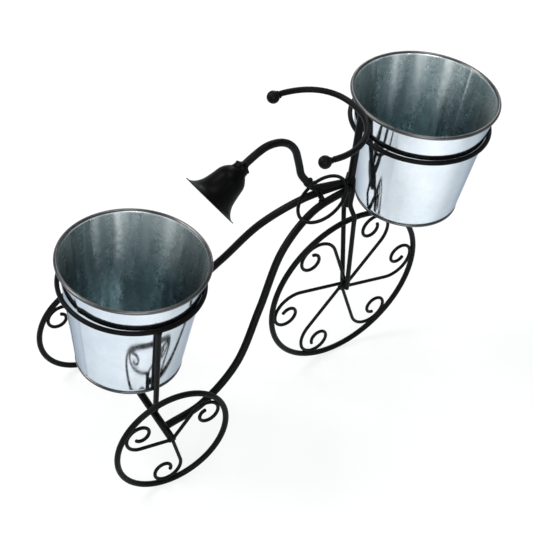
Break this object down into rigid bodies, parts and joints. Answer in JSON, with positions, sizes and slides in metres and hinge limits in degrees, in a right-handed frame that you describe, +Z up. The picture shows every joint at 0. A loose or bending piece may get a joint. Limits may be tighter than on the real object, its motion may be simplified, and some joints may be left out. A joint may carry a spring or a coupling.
{
  "type": "plant stand",
  "caption": "Tricycle-shaped wire plant stand with tapered metal pots held in ring holders, scroll-spoked wheels, a handlebar and a bell shade on a gooseneck arm.",
  "frame": {"origin": "on the floor, midway between the two pot axes", "axes": "+X the way the tricycle faces, +Y its left, +Z up"},
  "size_m": [0.4658, 0.1878, 0.3311],
  "materials": {
    "black_paint": "satin black paint over round steel wire",
    "galvanised": "bright zinc-coated sheet steel"
  },
  "bodies": {
    "frame": {"rear_pot_ring": "black_paint", "front_pot_ring": "black_paint", "front_post": "black_paint", "rear_axle": "black_paint", "left_rail": "black_paint", "right_rail": "black_paint", "left_ring_post": "black_paint", "right_ring_post": "black_paint", "left_fork_leg": "black_paint", "right_fork_leg": "black_paint", "right_wheel_rim": "black_paint", "right_wheel_scroll_1": "black_paint", "right_wheel_scroll_2": "black_paint", "right_wheel_scroll_3": "black_paint", "left_wheel_rim": "black_paint", "left_wheel_scroll_1": "black_paint", "left_wheel_scroll_2": "black_paint", "left_wheel_scroll_3": "black_paint", "front_wheel_rim": "black_paint", "front_wheel_scroll_1": "black_paint", "front_wheel_scroll_2": "black_paint", "front_wheel_scroll_3": "black_paint", "front_wheel_scroll_4": "black_paint", "front_wheel_scroll_5": "black_paint", "front_wheel_scroll_6": "black_paint", "handlebar": "black_paint", "right_grip_ball": "black_paint", "left_grip_ball": "black_paint", "cross_bar": "black_paint", "lamp_stem": "black_paint", "arm_ferrule": "black_paint", "lamp_arm": "black_paint", "bell_shade": "black_paint", "bell_collar": "black_paint", "saddle_ring": "black_paint"},
    "rear_pot": {"rear_pot_wall": "galvanised", "rear_pot_floor": "galvanised"},
    "front_pot": {"front_pot_wall": "galvanised", "front_pot_floor": "galvanised"}
  },
  "joints": [
    {"name": "rear_pot_lift", "type": "slide", "parent": "frame", "child": "rear_pot", "axis": [0, 0, 1], "range_m": [0, 0.04]},
    {"name": "front_pot_lift", "type": "slide", "parent": "frame", "child": "front_pot", "axis": [0, 0, 1], "range_m": [0, 0.13]}
  ]
}
